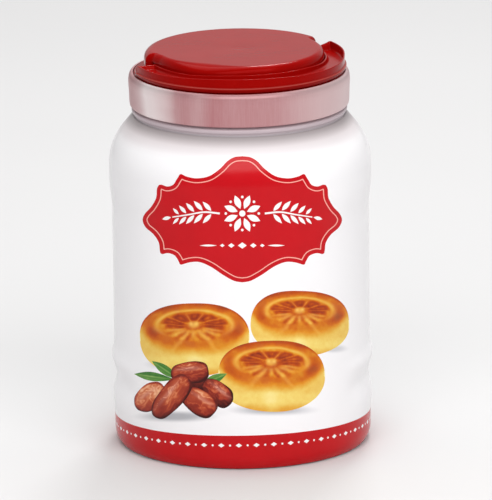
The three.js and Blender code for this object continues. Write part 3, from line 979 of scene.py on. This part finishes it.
def sleeve_piece():
    names, loops, fills = [], [], []  # what each closed line is, from the lowest layer up

    def add(kind, loop):
        names.append(kind)
        loops.append(ccw(loop))

    # columns that the film's two ends and its inside share
    columns = np.linspace(-180, 180, 201)
    columns = columns[np.abs(columns - LAP_AT) > 0.7]
    columns = np.sort(np.r_[columns, LAP_AT - 0.06, LAP_AT + 0.06])
    col_s = np.radians(columns) * FLAT_R
    rows = np.linspace(SLEEVE_LOW, SLEEVE_TOP, 92)
    rim = np.r_[
        np.c_[col_s, np.full(len(col_s), SLEEVE_LOW)],
        np.c_[np.full(len(rows) - 2, TURN), rows[1:-1]],
        np.c_[col_s[::-1], np.full(len(col_s), SLEEVE_TOP)],
        np.c_[np.full(len(rows) - 2, -TURN), rows[1:-1][::-1]],
    ]
    add("film", rim)
    az = np.linspace(-180, 180, 361)
    edge = np.c_[np.radians(az) * FLAT_R, band_edge(az)]
    add("band", np.r_[np.c_[col_s, np.full(len(col_s), SLEEVE_LOW)], edge[::-1]])
    count = 92
    for k in range(count):
        a = -180 + 360 * (k + 0.5) / count
        s, z = math.radians(a) * FLAT_R, band_edge(a) - 5.9
        tilt = -0.9 * 2 * math.sin(math.radians(2 * a)) / FLAT_R
        if abs(a - LAP_AT) < 2.5:
            continue
        if k % 2:
            d = np.array([(-1.9, 0), (0, -1.25), (1.9, 0), (0, 1.25)])
        else:
            d = disc(0, 0, 0.62, n=12)
        d = d + np.c_[np.zeros(len(d)), d[:, 0] * tilt]
        add("white", d + [s, z])
    frame_px = cartouche()
    fine_frame = evenly(frame_px, 0.9)
    add("panel", flat(on_sleeve(fine_frame)))
    add("line", flat(on_sleeve(inset(frame_px, 3.9))))
    add("panel", flat(on_sleeve(inset(frame_px, 4.85))))
    for s in ornament():
        add("white", flat(on_sleeve(s)))
    food = []

    def add_food(kind, loop, step, args):
        names.append(kind)
        food.append(len(names) - 1)
        fills.append((loop, step, args))
        loops.append(ccw(flat(on_sleeve(loop))))

    for key in ("right", "left", "front"):
        add_food("biscuit", biscuit_outline(*BISCUITS[key]), 0.95, BISCUITS[key])
    for l in LEAVES:
        add_food("leaf", leaf(*l, n=17), 0.9, l)
    for key in ("under", "back", "top", "right", "left", "front"):
        add_food("date", date_outline(*DATES[key]), 0.85, DATES[key])

    # points between the lines: fine in the food, coarser elsewhere
    outlines_px = [f[0] for f in fills]
    pts = []
    taken = np.zeros((0, 2))
    for k in reversed(range(len(fills))):
        loop, step, _ = fills[k]
        p = fine_points(loop, step)
        for upper in outlines_px[k + 1 :]:
            p = p[~inside(p, upper)] if len(p) else p
        for other in outlines_px:
            p = p[to_line(p, other) > step * 0.42] if len(p) else p
        pts.append(flat(on_sleeve(p)))
    grid = []
    for k, z in enumerate(np.arange(SLEEVE_LOW + 1.1, SLEEVE_TOP - 0.8, 2.05)):
        s = np.arange(-TURN + 1.2 + (k % 2) * 1.2, TURN - 1.0, 2.4)
        grid.append(np.c_[s, np.full(len(s), z)])
    grid = np.concatenate(grid)
    for s in (col_s[np.argmin(np.abs(columns - LAP_AT + 0.06))], col_s[np.argmin(np.abs(columns - LAP_AT - 0.06))]):
        grid = grid[np.abs(grid[:, 0] - s) > 0.7]
    near = np.abs(grid[:, 0]) < 75
    for k, loop in enumerate(loops[1:]):
        lo, hi = loop.min(0) - 1, loop.max(0) + 1
        box = (grid > lo).all(1) & (grid < hi).all(1)
        if not box.any():
            continue
        idx = np.flatnonzero(box)
        drop = to_line(grid[idx], loop) < 0.75
        if k + 1 in food:
            drop |= inside(grid[idx], loop)
        grid = np.delete(grid, idx[drop], 0)
    pts.append(grid)
    pts = np.concatenate(pts)

    coords, faces, edges = [], [], []
    for loop in loops:
        faces.append(list(range(len(coords), len(coords) + len(loop))))
        coords += loop.tolist()
    for a in (LAP_AT - 0.06, LAP_AT + 0.06):  # both sides of the lap's step
        s = math.radians(a) * FLAT_R
        start = len(coords)
        coords += [[s, z] for z in rows]
        edges += [(start + i, start + i + 1) for i in range(len(rows) - 1)]
    coords += pts.tolist()
    out = delaunay_2d_cdt([Vector(c) for c in coords], edges, faces, 0, 1e-5, True)
    plane = np.array([tuple(v) for v in out[0]], float)
    tris, kinds = [], []
    for f, ids in zip(out[2], out[5]):
        if ids:
            tris.append(f)
            kinds.append(max(ids))
    tris, kinds = np.array(tris), np.array(kinds)
    a, b, c = (plane[tris[:, i]] for i in range(3))
    area = (b[:, 0] - a[:, 0]) * (c[:, 1] - a[:, 1]) - (b[:, 1] - a[:, 1]) * (c[:, 0] - a[:, 0])
    tris[area < 0] = tris[area < 0][:, ::-1]
    ok = np.abs(area) > 1e-7
    tris, kinds = tris[ok], kinds[ok]

    # weld the two ends at the back
    left = np.flatnonzero(np.abs(plane[:, 0] + TURN) < 1e-3)
    right_side = np.flatnonzero(np.abs(plane[:, 0] - TURN) < 1e-3)
    left = left[np.argsort(plane[left, 1])]
    right_side = right_side[np.argsort(plane[right_side, 1])]
    weld = np.arange(len(plane))
    weld[right_side] = left
    az_all = np.degrees(plane[:, 0] / FLAT_R)
    z_all = plane[:, 1]
    low_ids = np.flatnonzero(np.abs(z_all - SLEEVE_LOW) < 1e-3)
    top_ids = np.flatnonzero(np.abs(z_all - SLEEVE_TOP) < 1e-3)
    low_ids = low_ids[np.argsort(plane[low_ids, 0])]
    top_ids = top_ids[np.argsort(plane[top_ids, 0])]
    verts = at(sleeve_r(z_all, az_all), az_all, z_all)

    # normals from the shape itself
    d = 0.4
    zc = np.clip(z_all, SLEEVE_LOW + d, SLEEVE_TOP - d)

    def smooth_r(z, a):
        return np.interp(z, OUTER[:, 1], OUTER[:, 0]) + swell(z, a)

    dz = at(smooth_r(zc + d, az_all), az_all, zc + d) - at(smooth_r(zc - d, az_all), az_all, zc - d)
    da = at(smooth_r(zc, az_all + 0.3), az_all + 0.3, zc) - at(smooth_r(zc, az_all - 0.3), az_all - 0.3, zc)
    normals = np.cross(da, dz)
    normals /= np.linalg.norm(normals, axis=1, keepdims=True)

    # the inside of the film and its two edges
    inner_rows = np.r_[INNER[20:61:10, 1], np.arange(14, 190, 5.5), INNER[-1, 1]]
    cols = columns[:-1]
    base = len(verts)
    inner = []
    for z in inner_rows:
        inner.append(at(sleeve_r(np.full(len(cols), z), cols, INNER), cols, np.full(len(cols), z)))
    verts = np.r_[verts, np.concatenate(inner)]
    n_col = len(cols)
    quads = []
    assert len(low_ids) == len(columns) and len(top_ids) == len(columns)
    low_ids, top_ids = weld[low_ids], weld[top_ids]
    last = base + (len(inner_rows) - 1) * n_col
    for i in range(n_col):
        k = (i + 1) % n_col
        quads.append([base + i, base + k, low_ids[i + 1], low_ids[i]])
        quads.append([top_ids[i], top_ids[i + 1], last + k, last + i])
        for r in range(len(inner_rows) - 1):
            q = base + r * n_col
            quads.append([q + i, q + n_col + i, q + n_col + k, q + k])
    tris3 = weld[tris]
    used = np.zeros(len(verts), bool)
    used[tris3.ravel()] = True
    used[np.array(quads).ravel()] = True
    new = np.cumsum(used) - 1
    faces3 = [list(map(int, new[t])) for t in tris3] + [list(map(int, new[q])) for q in quads]

    white = film_white("film_white")
    mats = [
        white,
        film_colour("print_red", PRINT_RED),
        film_colour("print_line", PRINT_LINE, 0.01),
        film_colour("print_white", PRINT_WHITE, 0.01),
        biscuit_print("print_biscuit"),
        date_print("print_date"),
        leaf_print("print_leaf"),
        film_colour("print_base_red", BASE_RED),
    ]
    order = {"film": 0, "band": 7, "panel": 1, "line": 2, "white": 3, "biscuit": 4, "date": 5, "leaf": 6}
    piece = make("printed_sleeve", verts[used], faces3, "label_sleeve", mats)
    mesh = piece.data
    assert len(mesh.polygons) == len(faces3)
    slots = [order[names[k]] for k in kinds] + [0] * len(quads)
    mesh.polygons.foreach_set("material_index", slots)

    corner_v = tris.ravel()
    corner_kind = np.repeat(kinds, 3)
    px = to_view(at(sleeve_r(z_all, az_all), az_all, z_all))
    tone_a = np.zeros(len(corner_v))
    tone_b = np.zeros(len(corner_v))
    for k, (loop, step, args) in zip(food, fills):
        sel = np.flatnonzero(corner_kind == k)
        ids, back_to = np.unique(corner_v[sel], return_inverse=True)
        fn = {"biscuit": biscuit_tones, "date": date_tones, "leaf": leaf_tones}[names[k]]
        a, b = fn(px[ids], *args)
        tone_a[sel], tone_b[sel] = a[back_to], b[back_to]
    extra = 4 * len(quads)
    for name, values in (("tone_a", tone_a), ("tone_b", tone_b)):
        at_ = mesh.attributes.new(name, "FLOAT", "CORNER")
        at_.data.foreach_set("value", np.r_[values, np.zeros(extra)].astype(np.float32))
    front = np.abs(az_all) < 88
    print_uv = np.where(front[:, None], np.c_[px[:, 0] / 500, px[:, 1] / 500], -1.0)
    layer = mesh.uv_layers.new(name="Print")
    layer.data.foreach_set("uv", np.r_[print_uv[corner_v].ravel(), np.full(extra * 2, -1.0)].astype(np.float32))

    # a map for baking that gives the pictured food more room
    s_c, z_c = plane[corner_v, 0], plane[corner_v, 1]
    mid_s = np.repeat(s_c.reshape(-1, 3).mean(1), 3)
    mid_z = np.repeat(z_c.reshape(-1, 3).mean(1), 3)
    detail = (np.abs(mid_s) < 62) & (mid_z > 24) & (mid_z < 98)
    bu = np.where(detail, 0.5 + s_c / 132, 0.005 + 0.99 * (s_c + TURN) / (2 * TURN))
    bv = np.where(detail, 0.01 + (z_c - 20) / 82 * 0.58, 0.625 + 0.365 * (z_c - SLEEVE_LOW) / (SLEEVE_TOP - SLEEVE_LOW))
    quad_uv = np.tile([[0.02, 0.603], [0.98, 0.603], [0.98, 0.613], [0.02, 0.613]], (len(quads), 1))
    layer = mesh.uv_layers.new(name="OFBake")
    layer.data.foreach_set("uv", np.r_[np.c_[bu, bv].ravel(), quad_uv.ravel()].astype(np.float32))
    mesh.uv_layers.active = mesh.uv_layers["OFBake"]

    custom = np.zeros((len(corner_v) + extra, 3))
    custom[: len(corner_v)] = normals[corner_v]
    mesh.polygons.foreach_set("use_smooth", [True] * len(tris) + [False] * len(quads))
    mesh.normals_split_custom_set(custom.tolist())
    mesh.update()
    print("sleeve", len(mesh.vertices), "vertices", len(mesh.polygons), "faces")
    return piece


PRINT_RED = (0.53, 0.004, 0.009, 1)
BASE_RED = (0.50, 0.004, 0.007, 1)
PRINT_LINE = (0.88, 0.42, 0.36, 1)
PRINT_WHITE = (0.90, 0.885, 0.88, 1)
FILM_WHITE = (0.90, 0.885, 0.88, 1)


# height, how much of the white is left there as painted shade below the band, and its green for each red
NECK_SHADE = [
    (183, 1.0, 1.0), (185.5, 0.97, 0.985), (188, 0.87, 0.96), (190.5, 0.80, 0.94), (192.5, 0.62, 0.92),
    (194.5, 0.46, 0.91), (195.8, 0.40, 0.89), (196.3, 0.33, 0.90), (198, 0.33, 0.90),
]  # fmt: skip


def film_white(name):
    m = Nodes(name)
    cloud = m.noise(m.coords(), 20, 3)
    base = m.blend(m.range(cloud, 0.3, 0.7), tuple(c * 0.985 for c in FILM_WHITE[:3]) + (1,), FILM_WHITE)
    sep = m.node("SeparateXYZ")
    m.link(m.uv("Print"), sep.inputs[0])
    u, v = sep.outputs[0], sep.outputs[1]
    shade = None
    for x, y, hw, hh, depth in SHADOWS:
        dx = m.math("MULTIPLY", m.math("SUBTRACT", u, x / 500), 500 / hw)
        dy = m.math("MULTIPLY", m.math("SUBTRACT", v, y / 500), 500 / hh)
        d = m.math("SQRT", m.math("ADD", m.math("MULTIPLY", dx, dx), m.math("MULTIPLY", dy, dy)))
        s = m.range(d, 0.25, 1.0, depth, 0.0)
        shade = s if shade is None else m.math("MAXIMUM", shade, s)
    base = m.blend(shade, base, (0.36, 0.36, 0.38, 1))
    # painted shade: the film darkens towards the neck, under the band
    place = m.node("SeparateXYZ")
    m.link(m.coords(), place.inputs[0])
    rise = m.range(place.outputs[2], 0.183, 0.198, 0, 1, "LINEAR")
    shade = m.ramp(rise, [((z - 183) / 15, (v, v * g, v * (g + 0.02), 1)) for z, v, g in NECK_SHADE])
    base = m.blend(1.0, base, shade, "MULTIPLY")
    m.set(Base_Color=base)
    return film_finish(m)


def inks(stops):
    return [(p, tuple(min(0.95, x * INK_GAIN) for x in linear(c)[:3]) + (1.0,)) for p, c in stops]


INK_GAIN = 0.92


def biscuit_print(name):
    m = Nodes(name)
    baked, lit = m.attribute("tone_a"), m.attribute("tone_b")
    speck = m.noise(m.coords(), 900, 3, 0.6)
    patch = m.noise(m.coords(), 170, 3, 0.5)
    tone = m.math("ADD", baked, m.math("MULTIPLY", m.math("SUBTRACT", patch, 0.5), 0.10))
    tone = m.math("ADD", tone, m.math("MULTIPLY", m.math("SUBTRACT", speck, 0.5), 0.07))
    colour = m.ramp(
        tone,
        inks(
            [
                (0.0, (253, 236, 160)),
                (0.14, (245, 215, 116)),
                (0.30, (233, 180, 72)),
                (0.45, (226, 146, 34)),
                (0.60, (210, 106, 18)),
                (0.75, (190, 76, 14)),
                (0.88, (168, 62, 18)),
                (1.0, (138, 46, 18)),
            ]
        ),
    )
    colour = m.blend(m.range(lit, 0.0, 1.0, 0.0, 1.0, "LINEAR"), colour, inks([(0, (255, 212, 108))])[0][1])
    colour = m.blend(m.range(lit, 0.0, -1.0, 0.0, 0.8, "LINEAR"), colour, inks([(0, (110, 48, 24))])[0][1])
    m.set(Base_Color=colour)
    return film_finish(m)


def date_print(name):
    m = Nodes(name)
    speck = m.noise(m.coords(), 800, 3, 0.6)
    tone = m.math("ADD", m.attribute("tone_a"), m.math("MULTIPLY", m.math("SUBTRACT", speck, 0.5), 0.04))
    colour = m.ramp(
        tone,
        inks(
            [
                (0.0, (62, 18, 16)),
                (0.18, (108, 32, 24)),
                (0.38, (152, 50, 34)),
                (0.58, (188, 80, 48)),
                (0.78, (220, 128, 84)),
                (1.0, (246, 186, 144)),
            ]
        ),
    )
    colour = m.blend(m.attribute("tone_b"), colour, inks([(0, (250, 205, 185))])[0][1])
    m.set(Base_Color=colour)
    return film_finish(m)


def leaf_print(name):
    m = Nodes(name)
    m.set(
        Base_Color=m.ramp(
            m.attribute("tone_a"),
            inks([(0.0, (34, 86, 44)), (0.45, (68, 126, 52)), (0.75, (104, 152, 70)), (1.0, (160, 190, 112))]),
        )
    )
    return film_finish(m)


sleeve = sleeve_piece()

# ---- floor, backdrop and studio light ---------------------------------------------------------
def floor():
    n, size = 24, 9.0
    line = np.linspace(-size, size, n)
    verts = [(x, y, 0.0) for y in line for x in line]
    faces = [(j * n + i, j * n + i + 1, (j + 1) * n + i + 1, (j + 1) * n + i) for j in range(n - 1) for i in range(n - 1)]
    mesh = bpy.data.meshes.new("studio_floor")
    mesh.from_pydata(verts, [], faces)
    m = Nodes("floor_paint")
    m.set(
        Base_Color=m.blend(m.noise(m.coords(), 3, 2), (0.64, 0.635, 0.635, 1), (0.67, 0.665, 0.665, 1)),
        Roughness=0.75,
    )
    mesh.materials.append(m.material)
    obj = bpy.data.objects.new("studio_floor", mesh)
    scene.collection.objects.link(obj)


def lamp(name, place, aim, size, radiance, colour=(1, 1, 1)):
    data = bpy.data.lights.new(name, "AREA")
    data.shape = "RECTANGLE"
    data.size, data.size_y = size
    data.energy = radiance * math.pi * size[0] * size[1]
    data.color = colour
    obj = bpy.data.objects.new(name, data)
    obj.location = place
    obj.rotation_mode = "QUATERNION"
    obj.rotation_quaternion = (Vector(aim) - Vector(place)).to_track_quat("-Z", "Y")
    obj.visible_camera = False
    scene.collection.objects.link(obj)
    return obj


floor()
lamp("softbox", (0.25, -1.66, 1.60), (0, 0, 0.12), (3.0, 1.2), 4.1)
lamp("overhead", (0.0, 0.45, 2.0), (0, 0.2, 0.1), (2.4, 1.6), 1.8)
lamp("back_strip", (0.28, 1.38, 1.79), (0, 0, 0.23), (0.5, 0.45), 21.0)
lamp("backdrop_glow", (0.0, 4.2, 1.15), (0, 0, 0.2), (6.0, 1.9), 0.17)
world = bpy.data.worlds.new("studio")
world.use_nodes = True
world.node_tree.nodes["Background"].inputs[0].default_value = (1.0, 1.0, 1.0, 1)
world.node_tree.nodes["Background"].inputs[1].default_value = 0.35
scene.world = world
scene.view_settings.view_transform = "Standard"
